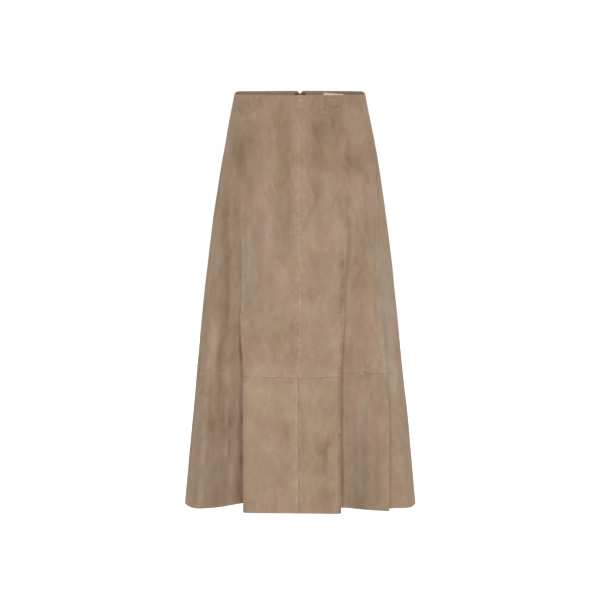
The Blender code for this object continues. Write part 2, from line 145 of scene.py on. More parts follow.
SIDE_LEVELS = 43

# The tier seam isn't level: how much higher it lies at some of the lines.
TIER_SHIFTS = (
    ("back_seam", -0.0010), ("back_right_crest", 0.0012), ("back_right_flute", 0.0020),
    ("right_flute", 0.0045), ("right_seam", 0.0050), ("right_fold_in", 0.0045),
    ("panel_right_edge", 0.0000), ("front_seam", -0.0040), ("panel_left_edge", 0.0000),
    ("left_fold_out", 0.0030), ("left_seam", 0.0020), ("left_flute", -0.0005),
    ("back_left_flute", 0.0010), ("back_left_crest", 0.0015),
)
TIER_SHIFT_REACH = 0.110
SOFTEN = ((-0.10, 0.1), (-0.05, 0.2), (0.0, 0.4), (0.05, 0.2), (0.10, 0.1))

# Faces of the skirt, each with the axis that runs across it and the way it looks.
FACES = {"front": (0, (0, -1)), "back": (0, (0, 1)), "right": (1, (-1, 0)), "left": (1, (1, 0))}
LOOKS = (0.15, 0.60)    # how squarely cloth looks a face's way where it begins, and is in full

# Creases, in millimetres: across and z at the top, how far the foot lies across from
# it and below it, how far the middle bows across, half the width, and the depth, which is
# negative on a ridge.
CREASES = {"front": (
    # top, top_z, drift, drop, bow, half_width, depth
    (-158, -150, 1, 460, 4, 17, 4), (-150, -370, -3, 110, 2, 10, 1.8),
    (-163, -575, -3, 260, -4, 18, 1.8), (-186, -300, -8, 400, 3, 13, -1.6),
    (-139, -640, -2, 205, 3, 10, 0.9), (-123, -80, -7, 90, 2, 11, 2.2),
    (-104, -230, -6, 170, 2, 8, -1.6), (-70, -150, 4, 190, -5, 22, -1.6),
    (-30, -100, 4, 200, 3, 15, 1.4), (-48, -340, -4, 190, 4, 20, -1.2),
    (-20, -360, 2, 140, -3, 13, 1.2), (-84, -400, -6, 160, 3, 14, 1.2),
    (-70, -620, -4, 225, 4, 24, -1.2), (-32, -640, 4, 205, -3, 18, 1),
    (31, -100, 3, 135, 2, 9, 1.6), (34, -290, -4, 90, 2, 11, 1.4),
    (62, -180, 4, 290, 4, 22, -1.5), (101, -250, -5, 120, 1, 6, 1.4),
    (109, -230, -4, 190, 2, 10, -1.4), (104, -85, 8, 65, -2, 11, 1.8),
    (136, -130, 7, 60, 2, 9, 1.6), (128, -300, 2, 220, 4, 14, 1.6),
    (148, -260, 5, 260, -3, 10, -1.3), (24, -600, -2, 245, 3, 13, 1.6),
    (52, -640, 4, 205, 4, 15, -1.6), (122, -610, 1, 235, 3, 12, 1.2),
    (146, -640, 6, 205, 2, 12, 1.8), (196, -600, 10, 245, -3, 15, 1.8),
    (42, -8, 34, 2, -2, 2.6, 1.2), (48, -12.5, 19, 8, -2, 2.4, 1),
    (44, -16.5, 36, 12, -6, 2.8, 1.4), (46, -33, 10, 4, -1, 2.6, 1),
    (42, -42, 20, 4, -2, 3, 0.9), (36, -56, 18, 10, -3, 3.6, 0.6),
    (34, -11.5, 16, 3.5, -1, 2.2, 0.7), (-119, -6.5, -3, 8, 1, 2.2, -1),
    (-106, -9.5, 8, -1.5, 1, 2, -0.8), (-93.5, -12, 2, 4.5, 0, 2, -0.8),
    (-109, -25, 4, 9.5, 1, 2.2, -1), (-74, -12.5, -3.5, 10.5, 1, 2.2, -0.9),
    (-69, -14, 4, 3.5, 0, 2, -0.7), (-126, -26.5, 8, 5, 1, 2.2, -1),
    (-113, -49.5, 24, 0.5, 0, 2.4, -0.8), (-55.5, -55, -12.5, 9, 1, 2.4, -0.7),
    (-24, -8.5, 5.5, 9.5, 1, 2.2, -0.7), (89, -29.5, 13, -3.5, 1, 2.4, -0.7),
    (2.2, -572, 0.8, 273, 0.8, 2.4, 0.7), (30, -96, 22, -6, 2, 3.4, 0.6),
    (-110, -546, 14, 10, 1, 3, 0.8), (-32, -573.5, 30, 3.5, -1, 2.6, 0.8),
    (-98, -705, 28, -7, 2, 3.4, 0.6), (-36, -712, 32, -8, 1, 3, 0.6),
    (-121, -18, 23, 16, 3, 5, 0.9), (-126, -36, 24, 18, 3, 5, 0.9),
    (-12, -21, 22, 1, 1, 3, 0.6), (-40, -577, 37, 3, -1, 3.4, 0.9),
    (-16, -350, 10, 22, 1, 3.6, 0.9), (-20, -392, 10, 18, 1, 3.4, 0.7),
    (128, -560, 12, 14, 1, 4, 0.9),
), "back": (
    (-52, -140, -4, 280, 4, 19, 2.2), (-28, -260, 4, 260, -4, 15, -1.4),
    (34, -200, 4, 270, 4, 20, 2), (66, -160, 8, 380, -4, 15, -1.6),
    (-80, -240, -8, 300, 3, 13, -1.6), (-118, -140, -6, 190, 2, 13, 2),
    (116, -130, 8, 230, 3, 13, 2.2), (-150, -300, -10, 300, 3, 15, 1.8),
    (152, -280, 6, 310, 4, 16, 2), (-45, -600, -5, 245, 4, 18, 2.6),
    (52, -590, -2, 255, -4, 17, 2.4), (18, -640, 4, 205, 3, 13, -1.6),
    (-168, -620, -8, 225, 4, 16, 2.6), (160, -610, 10, 235, 3, 17, 2.8),
    (-6, -196, -24, 26, 2, 5, 1.2), (6, -200, 20, 30, 2, 5, 1.1),
    (-38, -18, 22, 12, 2, 4.5, 0.9), (40, -22, -22, 16, 2, 4.8, 0.9),
), "right": (
    (-30, -140, -4, 340, 4, 18, 2.6), (12, -180, 6, 380, -4, 16, -1.8),
    (50, -220, 6, 300, 3, 15, 2.2), (-20, -590, -6, 255, 4, 18, 3),
    (36, -610, 8, 235, 4, 19, 2.6), (-52, -30, 22, 16, 2, 5, 1),
    (20, -60, 30, 15, 2, 5.5, 1),
), "left": (
    (-10, -150, -4, 310, 4, 17, 2.4), (30, -200, 10, 360, 4, 18, -1.8),
    (62, -240, 4, 300, -3, 14, 2), (-38, -600, -6, 245, 3, 14, 2.2),
    (16, -590, 4, 255, 4, 18, 3), (58, -620, 8, 225, 3, 16, 2.4),
    (0, -28, 26, 16, 2, 5, 1),
)}

# Soft patches where the colour is darker or lighter (tone), greener, cooler or worn:
# millimetres, then hundredths. A row may leave out zeros at its end. Some front rows paint
# light and shade: the darker rows at across -150 to -155 down the trough, and at 83 and 96
# along the fold edge, are painted shade; the lighter rows in the recess at across -123 to
# -180 from z -505 down, and the one at 100, -735, are painted light lifting the recess's
# shade; the lighter, cooler rows at across 133 to 188 from z -60 to -540, and the one at
# -113, -370, are a painted sheen along the side edge and the fold edge; the two light spots
# at the top of the front seam are painted light over its groove's shade.
NAP_AND_PAINTED_LIGHT_PATCHES = {"front": (
    # across, z, half_width, half_height, tone, green, cool, worn
    (0, -110, 160, 110, -8.5, -30), (-112, -10, 20, 12, 4, 40, 0, 60),
    (-105, -45, 24, 16, -2, -30, 10, 70), (-82, -16, 28, 10, -12, -50, 0, 80),
    (-96, -53, 18, 6, 6, 0, 10, 60), (-60, -60, 18, 24, -6, -70),
    (-36, -40, 16, 50, -12, -10), (-34, -66, 6, 8, -7, 20),
    (-28, -120, 18, 56, -10, 100), (-30, -235, 17, 90, -11, 90),
    # light spots at the top of the front seam: painted light over its groove's shade
    (0.2, -15.5, 7.5, 3.8, 20, 20), (-0.5, -28.5, 7.5, 3.4, 18, 20),
    (4, -60, 14, 50, 3, -40, 0, 40), (52, -40, 36, 52, -18, 60, 40),
    (36, -90, 22, 36, -10, 20, 30), (34, -160, 14, 62, -12, -10, 40),
    (45, -150, 45, 100, -6), (125, -350, 26, 100, -5),
    (110, -20, 14, 12, -17, -30), (80, -90, 24, 26, -5, -50, 0, 30),
    (99, -137, 11, 32, -21, -10), (119, -140, 14, 24, -12, 40),
    # lighter, cooler rows at across 133 to 188, here and below: painted sheen along the side edge
    (138, -168, 12, 20, -10, -90), (133, -60, 10, 40, 2, 0, 60),
    (146, -200, 8, 60, 5, 20, 20), (66, -195, 20, 45, 5, -10, 50),
    # darker rows at 96, -240 here and at 83, -380 below: painted shade along the fold edge
    (96, -240, 6, 45, -12, 0, 80), (64, -325, 20, 110, 1, 0, 30),
    (-125, -122, 18, 42, -18, 10, 10), (-103, -175, 12, 32, -11, 10),
    (-68, -215, 19, 110, 9, -40, 10), (-70, -290, 22, 42, 6, -30, 30),
    # darker rows at across -150 to -155, here and on the next line: painted shade down the trough
    (-153, -240, 9, 65, -15, -20), (-151, -370, 11, 80, -19, 20),
    (-150, -480, 14, 60, -17, 50), (-155, -610, 14, 40, -8, 50),
    # lighter, cooler row at -113, -370: painted sheen along the fold edge
    (-130, -260, 10, 70, -7), (-113, -370, 5, 80, 7, 0, 160),
    (-98, -360, 12, 70, 5, 10, 70), (30, -340, 11, 24, -11, -50),
    (20, -392, 20, 24, -9, -60, 0, 30), (133, -285, 20, 60, -8, -80, 20),
    (160, -340, 8, 70, 6, 30, 70), (168, -460, 10, 85, 10, 20, 150),
    (173, -540, 12, 28, 8, 30, 100, 30), (83, -380, 6, 80, -9, 20),
    (-60, -385, 26, 22, -4, -50), (-97, -470, 14, 50, -12, -40, 50, 30),
    (-36, -465, 17, 28, -11, 60), (-12, -490, 10, 55, -10, -70, 0, 40),
    (45, -490, 34, 70, -2, -30), (4, -235, 20, 70, 0, 0, 0, 60),
    (4, -420, 30, 80, 0, 0, 0, 40), (-96, -553, 20, 12, 5, 0, 90, 100),
    (62, -560, 30, 12, 4, 0, 0, 90), (-45, -558, 40, 10, 7, -20, 0, 40),
    (128, -562, 20, 12, -8, 0, 10, 90), (-62, -605, 46, 34, 9, 120),
    (-85, -600, 20, 14, 5, 70), (-60, -675, 44, 20, -3, -70),
    (-27, -672, 18, 14, -9), (-68, -740, 40, 36, 3, 100, 40),
    (-60, -812, 52, 28, -8, -45), (36, -605, 30, 42, 3, 50),
    (30, -725, 18, 36, -7, 130, -20, 60), (53, -730, 8, 34, -13, -30),
    # lighter rows at across -123 to -180 from here on, and at 100, -735: painted light lifting
    # the recess's shade
    (50, -812, 30, 26, -11, -50), (-140, -765, 20, 100, 38, 30, -30),
    (-123, -690, 5.5, 180, 52, 20, -40), (-147, -715, 6.5, 115, 46, 10, -30),
    (188, -465, 14, 120, 20, 20, 40), (7, -700, 5, 150, -6, 60, 0, 60),
    (-135, -575, 15, 80, 44, 30, -20), (-151, -590, 10, 36, 22, 20, -20),
    (-139, -632, 8, 26, 20, 20, -20), (-178, -505, 12, 75, 16, -20),
    (-180, -760, 20, 70, 7, -20, 30), (100, -735, 10, 85, 13, -10, 20),
    (-152, -668, 30, 14, -14, 20), (35, -720, 45, 110, -2, 60),
    (-60, -700, 50, 120, 0, 60), (-55, -604, 56, 20, 6, 30),
    (45, -604, 36, 18, 5, 30), (46, -712, 20, 18, -8, 40),
    (12, -690, 10, 30, -7, 20), (-182, -590, 12, 12, 6, 30),
    (-184, -675, 14, 30, -10, -20, 20), (-198, -775, 30, 56, -5, -30, 70),
    (112, -610, 18, 60, 9, -30, 10), (128, -660, 14, 45, 8, 0, 100),
    (120, -775, 12, 60, -3, -40, 120), (151, -765, 12, 60, -4, -50, 30),
    (125, -500, 26, 50, -3, -80, 10), (196, -610, 16, 45, 3, 60, 50, 40),
    (201, -745, 22, 80, -4, 20, 40, 40),
), "back": (
    (0, -110, 170, 110, -7), (60, -35, 40, 18, 4, 20, 20, 90),
    (-72, -60, 20, 44, -19, 80), (28, -140, 12, 60, -14, 30, 20),
    (-40, -290, 22, 110, 9, -60, 10, 30), (48, -370, 18, 90, -12, 80),
    (84, -230, 14, 100, 6, -20, 70), (-98, -170, 13, 50, -17),
    (-126, -430, 12, 100, -12, 30), (-16, -480, 16, 50, -8, -60, 0, 40),
    (30, -625, 40, 40, 8, 80), (-50, -650, 30, 26, -6, -60, 10),
    (-40, -770, 40, 40, 4, 50, 30), (50, -790, 34, 40, -9, -70, 10, 30),
), "right": (
    (-10, -180, 16, 70, -14, 30, 10), (30, -360, 20, 110, 6, -30, 60),
    (-20, -560, 14, 70, -10, 50), (40, -700, 26, 70, 5, 40, 30, 50),
    (-10, -780, 20, 40, -8, -50, 50),
), "left": (
    (-20, -130, 18, 50, -10, 30), (10, -300, 22, 120, 7, -30, 60, 30),
    (46, -460, 14, 80, -12, 40), (20, -640, 28, 50, 5, 60, 20, 30),
    (36, -780, 26, 50, -9, -50, 30, 30),
)}
PATCH_WANDERS = (
    # their edges wander across (0) or up (1): reach, size across, size down, seed
    (0, 0.0050, 0.020, 0.030, 51), (0, 0.0020, 0.007, 0.011, 52), (1, 0.0100, 0.020, 0.030, 53),
)
STRAY_PATCHES = 150     # more of them by chance, fainter, all round
STRAY_SEED = 21
STRAY_SPANS = (
    # half_width, across, z, half_height over half_width, tone, green, cool, worn
    (0.008, 0.026), (-0.20, 0.20), (HEM_Z, WAIST_Z), (1.6, 4.5),
    (-0.055, 0.055), (-0.45, 0.45), (0.0, 0.45), (0.0, 0.08),
)

# attributes on the mesh: the nap's tone, which also holds painted light and shade, its green, its
# cool, which also holds a painted sheen, and its wear
NAP_AND_PAINTED_LIGHT_KEYS = ("nap_tone_and_painted_light", "nap_green", "nap_cool_and_painted_sheen", "nap_worn")
CREASE_ENDS = 0.15      # keeps a crease's ends from fading too soon
FINE_CREASE = 0.0060    # creases no wider than this also get a line of painted shade
CREASE_PAINTED_SHADE = 0.60      # the painted shade for each such width of depth
WORN_REACH = 0.0034     # the nap is rubbed this far in from seams and edges
WORN_LINES = (
    # line, how wide it is rubbed for each unit of WORN_REACH
    ("back_seam", 0.9), ("front_seam", 1.4), ("panel_right_edge", 1.2),
    ("panel_left_edge", 1.0),
)
FOLD_TOP = -0.260       # the fold edges begin here

# Seams and fold edges that run down the skirt: painted highlight and painted shade in stripes
# beside them, on the side before and after the seam, counted round the skirt, and the width
# of each stripe.
SEAM_PAINTED_LIGHT = (
    # line, from_z, to_z, tone_before, width_before, tone_after, width_after
    ("front_seam", -0.040, SEAM_Z, -0.15, 0.0026, 0.13, 0.0042),
    ("front_seam", SEAM_Z, HEM_Z, 0.10, 0.0110, -0.17, 0.0064),
    ("panel_right_edge", -0.285, -0.530, -0.12, 0.0070, 0.06, 0.0080),
    ("panel_left_edge", -0.285, HEM_Z, -0.22, 0.0064, -0.10, 0.0070),
    ("left_seam", -0.110, -0.330, 0.13, 0.0075, -0.12, 0.0110),
    ("left_seam", -0.300, SEAM_Z, -0.05, 0.0030, 0.02, 0.0060),
    ("left_seam", SEAM_Z, HEM_Z, -0.12, 0.0060, 0.02, 0.0040),
    ("right_seam", WAIST_Z, HEM_Z, -0.02, 0.0030, 0.02, 0.0030),
    ("back_seam", WAIST_Z, HEM_Z, 0.05, 0.0030, -0.07, 0.0026),
)
SEAM_FORMS = (
    # line, rise over the seam's allowance, groove at its stitches, pucker beside them
    ("back_seam", 0.00045, 0.00040, 0.00016),
    ("right_seam", 0.00022, 0.00012, 0.00012),
    ("front_seam", 0.00032, 0.00026, 0.00018),
    ("left_seam", 0.00060, 0.00026, 0.00014),
)
STRIPE_FLAT = 1.4       # how flat the stripes are across, and the rise at a seam
SEAM_FLAT = 1.5
UNEVEN_SEAMS = (0.7, (0.014, 0.009), 0.9, 31)   # stripes: steady share, size, change, seed
SEAM_REACH = 0.0100
GROOVE_REACH = 0.0012
PUCKER_REACH = 0.0080
PUCKER_SIZE = (0.007, 0.011)
PUCKER_SEED = 41
LAP_RISE = 0.00045      # the upper panels lap over the tier
LAP_REACH = 0.0080
LAP_PAINTED_LIGHT = (0.200, 0.0030, -0.160, 0.0036)   # painted highlight above the lap's edge and painted shadow below it: the tone and width of each
SWELLS = (
    # size across, size down, height, seed
    (0.045, 0.110, 0.00075, 11),
    (0.016, 0.036, 0.00028, 12),
    (0.0075, 0.013, 0.00009, 13),
)
STITCH_PITCH = 0.0034
STITCH = (0.0025, 0.00055, 0.00040)     # length, width and height
STITCH_INSET = 0.0022   # from the lap's edge, the facing's foot and the label's ends
TOOTH_PITCH = 0.0012    # the zip's coil, on the inside of its tape
TOOTH = (0.0022, 0.0008, 0.0009)
TOOTH_X = 0.0008        # of each row, from the back seam
TEETH_TOP = -0.0230
BEAD_SIDES = 6          # a stitch or tooth: its sides, and its rings' places and widths
BEAD_RINGS = ((-0.5, 0.35), (-0.36, 0.85), (0.0, 1.0), (0.36, 0.85), (0.5, 0.35))

# ---- colours and patterns
SUEDE_ROSE = (0.360, 0.240, 0.166)
SUEDE_GREEN = (0.336, 0.246, 0.157)
SUEDE_COOL = (0.328, 0.255, 0.187)
NAP_WARMTH = (0.84, 1.0, 1.22)  # how much a darker tone, painted shade included, takes from red, green and blue
SHEEN = (0.95, 0.74, 0.56)
SHEEN_ROUGHNESS = 0.45
CLOTH_SPECULAR = 0.12
METAL_SPECULAR = 0.5
FLESH = (0.300, 0.208, 0.150)
CREAM = (0.78, 0.73, 0.64)
TAPE = (0.085, 0.062, 0.046)
BRONZE = (0.15, 0.108, 0.072)
THREAD = (0.33, 0.24, 0.175)
COIL = (0.125, 0.092, 0.068)
FLOOR = (0.10, 0.10, 0.10)     # of what it scatters; its own glow makes it look white

NOISE_ROUGHNESS = 0.6
NAP_PATTERNS = {
    # name: scale, detail, stretch in y and in z, warp, values at its edge
    "cloud": (15.0, 1.0, 1.0, 0.7, 0.5),
    "swept": (38.0, 1.5, 0.5, 0.5, 1.0, (0.40, 0.60)),
    "patch": (84.0, 1.0, 0.5, 0.6, 0.7, (0.38, 0.62)),
    "stroke": (125.0, 2.0, 0.5, 0.16),
    "mottle": (190.0, 2.0, 1.0, 0.8, 0.6),
    "fleck": (330.0, 2.0, 1.0, 0.7, 0.0, (0.54, 0.68)),
    "rub": (300.0, 4.0, 1.0, 0.7, 0.2, (0.48, 0.62)),
    "grain": (800.0, 2.0),
    "hue": (27.0, 1.5, 0.5, 0.5, 1.0, (0.38, 0.62)),
    "chill": (61.0, 2.0, 0.5, 0.5, 0.5),
}
NAP_TONES = (
    # pattern, middle, weight in the nap's tone
    ("cloud", 0.5, 0.29), ("swept", 0.5, 0.088), ("patch", 0.5, 0.060), ("stroke", 0.5, 0.10),
    ("mottle", 0.5, 0.11), ("fleck", 0.2, 0.05), ("grain", 0.5, 0.26),
)
NAP_TINTS = (
    # from the listed patches, by chance, share at rest, weight of the listed, weight by chance
    ("nap_green", "hue", 0.40, 0.6, 0.55), ("nap_cool_and_painted_sheen", "chill", 0.06, 0.6, 1.6),
)
NAP_BUMPS = (("stroke", 0.25), ("mottle", 0.25), ("fleck", 0.1), ("grain", 0.5))
WORN_TONE = 0.22        # how much lighter the rubbed nap is


# ---- the skirt's surface
def scaled_rows(tables, scales):
    """Each row with its face's name first, and each column divided by its scale."""
    return [(face, *(value / scale for value, scale in zip(row, scales)))
            for face, rows in tables.items() for row in rows]


CREASE_ROWS = scaled_rows(CREASES, (MM_PER_M,) * 7)
NAP_AND_PAINTED_LIGHT_ROWS = scaled_rows(NAP_AND_PAINTED_LIGHT_PATCHES, (MM_PER_M,) * 4 + (PERCENT,) * 4)


def ease(share):
    """From 0 to 1 with soft ends."""
    share = np.clip(share, 0.0, 1.0)
    return share * share * (3 - 2 * share)


def band(apart, half_width, flat=1.0):
    """1 in the middle, easing to 0 at half_width; a larger flat keeps it at 1 for longer."""
    return ease(flat - flat * np.abs(apart) / half_width)


def smooth_through(knots, values, at):
    """Curve through values at knots, eased so that it never swings past them."""
    order = np.argsort(knots)
    knots = np.asarray(knots, float)[order]
    values = np.asarray(values, float)[order]
    spans = np.diff(knots)
    rates = np.diff(values, axis=0) / spans.reshape((-1,) + (1,) * (values.ndim - 1))
    same_way = rates[:-1] * rates[1:] > 0
    total = np.where(same_way, rates[:-1] + rates[1:], 1.0)
    inner = np.where(same_way, 2.0 * rates[:-1] * rates[1:] / total, 0.0)
    slopes = np.concatenate([rates[:1], inner, rates[-1:]])
    place = np.clip(np.searchsorted(knots, at, side="right") - 1, 0, len(knots) - 2)
    columns = (np.arange(values.shape[1]),) if values.ndim > 1 else ()
    low, high = (place, *columns), (place + 1, *columns)
    shape = np.shape(at) + (1,) * (values[low].ndim - np.ndim(at))
    width = spans[place].reshape(shape)
    share = np.clip((at - knots[place]) / spans[place], 0.0, 1.0).reshape(shape)
    return (values[low] * (1 + 2 * share) * (1 - share) ** 2
            + values[high] * share ** 2 * (3 - 2 * share)
            + width * slopes[low] * share * (1 - share) ** 2
            - width * slopes[high] * share ** 2 * (1 - share))


def around(column, places, turn=0.0):
    """A column of LINES carried round the skirt: straight between lines, turning at them."""
    values = np.array([line[column] for line in LINES], float)
    shares = np.array([line[9] for line in LINES], float)
    count = len(LINES)
    nearest = np.floor(places + TURN_HALF).astype(int)
    along = places - nearest

    def at(index):
        return values[index % count] + turn * (index // count)

    def leave(index, way):
        return at(index) + shares[index % count] * (at(index + way) - at(index))

    u = np.clip((along + TURN_HALF) / (2 * TURN_HALF), 0.0, 1.0)
    turning = ((1 - u) ** 2 * leave(nearest, -1) + 2 * u * (1 - u) * at(nearest)
               + u ** 2 * leave(nearest, 1))
    v = np.clip((along - TURN_HALF) / (1 - 2 * TURN_HALF), 0.0, 1.0)
    straight = (1 - v) * leave(nearest, 1) + v * leave(nearest + 1, -1)
    return np.where(along <= TURN_HALF, turning, straight)


def outline_at(heights, column):
    """Half width (1), front reach (2) or back reach (3) at the heights."""
    table = np.array(OUTLINE) / MM_PER_M
    return smooth_through(table[:, 0], table[:, column], heights)


def reach_at(y, heights):
    """The outline's reach at the heights, to the front or back as y is."""
    return np.where(y < 0, outline_at(heights, 2), outline_at(heights, 3))


def shares_of_outline(places, heights):
    """Plan of the skirt as shares of the outline's half width and reach."""
    angles = [np.radians(around(column, places, 360.0)) for column in (1, 2, 3)]
    oval = np.stack([np.cos(angles[2]), np.sin(angles[2])], axis=1)
    dent = -oval * (around(4, places) / MM_PER_M / outline_at(THIGH_Z, 1))[:, None]
    shifts = [np.zeros_like(oval), np.zeros_like(oval), dent]
    for level, x_column in ((SEAM_Z, 5), (HEM_Z, 7)):
        x = around(x_column, places) / MM_PER_M / outline_at(level, 1)
        y = around(x_column + 1, places) / MM_PER_M
        shifts.append(np.stack([x, y / reach_at(y, level)], axis=1) - oval)
    turning = np.stack([angles[0], angles[1], angles[2], angles[2], angles[2]])
    angle = smooth_through(LEVELS, turning, heights)
    shift = smooth_through(LEVELS, np.stack(shifts), heights)
    return np.stack([np.cos(angle), np.sin(angle)], axis=1) + shift


def side_reaches():
    """How far the plan's shares reach at each side, at even levels from the hem up."""
    sample = np.arange(0.0, len(LINES), SIDE_PITCH)
    levels = np.linspace(HEM_Z, WAIST_Z, SIDE_LEVELS)
    shares = [shares_of_outline(sample, np.full(len(sample), level))[:, 0] for level in levels]
    return levels, [share.max() for share in shares], [-share.min() for share in shares]


SIDE_REACHES = side_reaches()


def plan(places, heights):
    """The surface's x and y, each section stretched to the outline."""
    x, y = shares_of_outline(places, heights).T
    levels, left, right = SIDE_REACHES
    side = np.where(x > 0, np.interp(heights, levels, left), np.interp(heights, levels, right))
    return np.stack([x / side * outline_at(heights, 1), y * reach_at(y, heights)], axis=1)


def skin(places, heights):
    """Points of the outer surface, its turns a little softer than the solids' facets."""
    across = sum(share * plan(places + step, heights) for step, share in SOFTEN)
    angle = np.radians(around(1, places, 360.0))
    high, low = DIP_SIDES
    dip = WAIST_DIP * ease((high - np.sin(angle)) / (high - low))
    fade = np.clip(1 + heights / DIP_REACH, 0.0, 1.0)
    notch = NOTCH_DEPTH * np.clip(1 - np.abs(across[:, 0]) / NOTCH_HALF, 0.0, 1.0)
    notch_fade = np.clip(1 + heights / NOTCH_REACH, 0.0, 1.0) * (np.sin(angle) > 0)
    lines = [LINE_NAMES.index(name) for name, _ in TIER_SHIFTS]
    shift = np.interp(places, lines, [rise for _, rise in TIER_SHIFTS], period=len(LINES))
    shift *= band(heights - SEAM_Z, TIER_SHIFT_REACH)
    return np.column_stack([across, heights - dip * fade - notch * notch_fade + shift])


def surface(places, heights):
    """Points, unit directions round and out of the skirt, and metres for each place."""
    step = 0.004
    rise = 0.001
    points = skin(places, heights)
    round_it = (skin(places + step, heights) - skin(places - step, heights)) / (2 * step)
    up = skin(places, np.minimum(heights + rise, WAIST_Z)) - skin(places, heights - rise)
    out = np.cross(round_it, up)
    pace = np.linalg.norm(round_it, axis=1)
    out /= np.linalg.norm(out, axis=1)[:, None]
    return points, round_it / pace[:, None], out, pace


# ---- relief, nap and painted light
def on_face(name, points, out):
    """A face's across coordinate of the points, and how squarely they look its way."""
    axis, way = FACES[name]
    looks = out[:, 0] * way[0] + out[:, 1] * way[1]
    edge_on, square = LOOKS
    return points[:, axis], ease((looks - edge_on) / (square - edge_on))


def swell(points, size_across, size_down, seed):
    """Smooth random values from -1 to 1, changing about once in each size."""
    count = 48
    table = np.random.default_rng(seed).uniform(-1.0, 1.0, (count, count, count))
    cell = points / np.array([size_across, size_across, size_down])
    low = np.floor(cell).astype(int)
    share = ease(cell - low)
    total = np.zeros(len(points))
    for corner in np.ndindex(2, 2, 2):
        weight = np.prod(np.where(corner, share, 1 - share), axis=1)
        x, y, z = ((low + corner) % count).T
        total += weight * table[x, y, z]
    return total


def seam_distance(name, places, pace):
    """Signed distance round the skirt from a seam, in metres."""
    count = len(LINES)
    apart = (places - LINE_NAMES.index(name) + count / 2) % count - count / 2
    return apart * pace


def crease_shape(face, crease, points, out):
    """How near the points are to a crease, fading to its ends, and how squarely it faces."""
    top, top_z, drift, drop, bow, half_width, _ = crease
    across, weight = on_face(face, points, out)
    run = np.array([drift, -drop])
    length = np.hypot(*run)
    run /= length
    from_top = np.stack([across - top, points[:, 2] - top_z], axis=1)
    along = np.clip(from_top @ run / length, 0.0, 1.0)
    side = from_top @ np.array([-run[1], run[0]]) - bow * np.sin(pi * along)
    beyond = np.abs(from_top @ run / length - along) * length
    near = band(np.hypot(side, beyond), half_width)
    return near * ease(4 * along * (1 - along) + CREASE_ENDS), weight


def relief(places, heights, points, out, pace):
    """How far the cloth stands out from the plain surface."""
    raised = np.zeros(len(points))
    for face, *crease in CREASE_ROWS:
        near, weight = crease_shape(face, crease, points, out)
        raised -= crease[6] * near * weight
    for across, down, height, seed in SWELLS:
        raised += height * swell(points, across, down, seed)
    ripple = swell(points, *PUCKER_SIZE, PUCKER_SEED)
    for name, rise, groove, pucker in SEAM_FORMS:
        apart = seam_distance(name, places, pace)
        raised += rise * band(apart, SEAM_REACH, SEAM_FLAT)
        raised -= groove * np.exp(-(apart / GROOVE_REACH) ** 2)
        raised += pucker * ripple * np.exp(-(apart / PUCKER_REACH) ** 2)
    over = heights - SEAM_Z
    return raised + np.where(over > 0, LAP_RISE, -LAP_RISE) * band(over, LAP_REACH)


def stray_patches():
    """Faint patches all round the skirt, in the form of NAP_AND_PAINTED_LIGHT_ROWS."""
    chance = np.random.default_rng(STRAY_SEED)
    rows = []
    for _ in range(STRAY_PATCHES):
        face = list(FACES)[chance.integers(len(FACES))]
        half_width, across, z, stretch, *amounts = [chance.uniform(*span) for span in STRAY_SPANS]
        rows.append((face, across, z, half_width, half_width * stretch, *amounts))
    return rows


def nap_and_painted_light(places, heights, points, out, pace):
    """The nap's tone, green, cool and wear at the points, with painted light and shade in the
    tone and a painted sheen in the cool.
    """
    values = np.zeros((len(points), len(NAP_AND_PAINTED_LIGHT_KEYS)))
    wander = np.zeros((2, len(points)))
    for way, reach, *sizes_and_seed in PATCH_WANDERS:
        wander[way] += reach * swell(points, *sizes_and_seed)
    # listed and stray patches: tone, green, cool and wear, with painted light, shade and sheen in
    # some listed rows
    for face, middle, z, half_width, half_height, *amounts in NAP_AND_PAINTED_LIGHT_ROWS + stray_patches():
        across, weight = on_face(face, points, out)
        apart = np.hypot((across + wander[0] - middle) / half_width,
                         (points[:, 2] + wander[1] - z) / half_height)
        near = np.exp(-apart ** 3) * weight
        values[:, :len(amounts)] += near[:, None] * np.array(amounts)
    steady, size, change, seed = UNEVEN_SEAMS
    uneven = steady + change * swell(points, *size, seed)
    # painted highlight and painted shade in stripes beside seams and fold edges
    for name, top, foot, before, width_before, after, width_after in SEAM_PAINTED_LIGHT:
        apart = seam_distance(name, places, pace)
        tone = np.where(apart < 0, before, after)
        width = np.where(apart < 0, width_before, width_after)
        between = (heights <= top) & (heights >= foot)
        values[:, 0] += tone * uneven * band(apart, width, STRIPE_FLAT) * between
    over = heights - SEAM_Z
    # painted highlight above the lap's edge, painted shadow below it
    light, light_width, dark, dark_width = LAP_PAINTED_LIGHT
    width = np.where(over > 0, light_width, dark_width)
    values[:, 0] += np.where(over > 0, light, dark) * band(over, width, STRIPE_FLAT) * uneven
    # a line of painted shade down each fine crease
    for face, *crease in CREASE_ROWS:
        if crease[5] <= FINE_CREASE:
            near, weight = crease_shape(face, crease, points, out)
            values[:, 0] -= CREASE_PAINTED_SHADE * crease[6] / FINE_CREASE * near * weight
    edge = np.min([WAIST_Z - heights, np.abs(over), heights - HEM_Z], axis=0)
    for name, reach in WORN_LINES:
        low = heights < FOLD_TOP if name.endswith("edge") else True
        away = np.abs(seam_distance(name, places, pace)) / reach
        edge = np.minimum(edge, np.where(low, away, WORN_REACH))
    values[:, 3] += ease(1 - edge / WORN_REACH)
    return values


# ---- cloth shells
def with_edges(values, low, high):
    """Values from low to high, with closer ones near both ends."""
    span = high - low
    inside = [value for value in values if low + EDGE_STEPS[-1] < value < high - EDGE_STEPS[-1]]
    steps = [step for step in EDGE_STEPS if step < span / 2]
    return sorted([low, high] + [low + step for step in steps]
                  + [high - step for step in steps] + inside)


